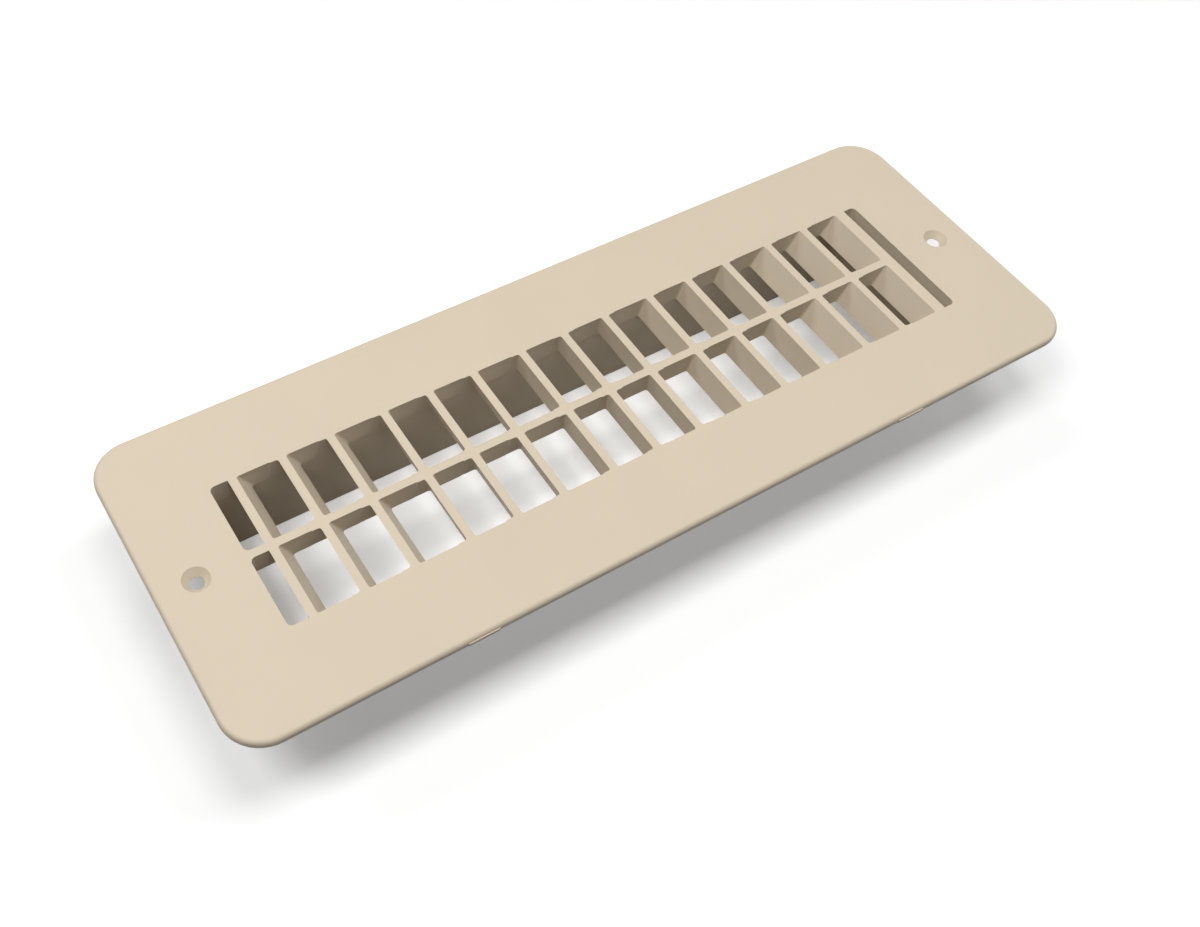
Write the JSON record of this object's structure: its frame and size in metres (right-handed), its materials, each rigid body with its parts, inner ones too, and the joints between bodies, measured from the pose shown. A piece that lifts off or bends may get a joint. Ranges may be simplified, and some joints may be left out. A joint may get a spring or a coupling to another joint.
{
  "type": "vent register",
  "caption": "One-piece moulded floor or ceiling register: a flat plate with rounded corners, a fanned grille with a lengthwise rib, and a collar that drops into a flat duct.",
  "frame": {"origin": "centre of the face plate's underside, midway between the two screw holes", "axes": "+X along the grille, towards the end with the lever slot; +Y across it; +Z out of the face"},
  "size_m": [0.3048, 0.1082, 0.0349],
  "materials": {
    "tan_plastic": "satin injection-moulded tan plastic"
  },
  "bodies": {
    "root": {"register": "tan_plastic"}
  },
  "joints": []
}
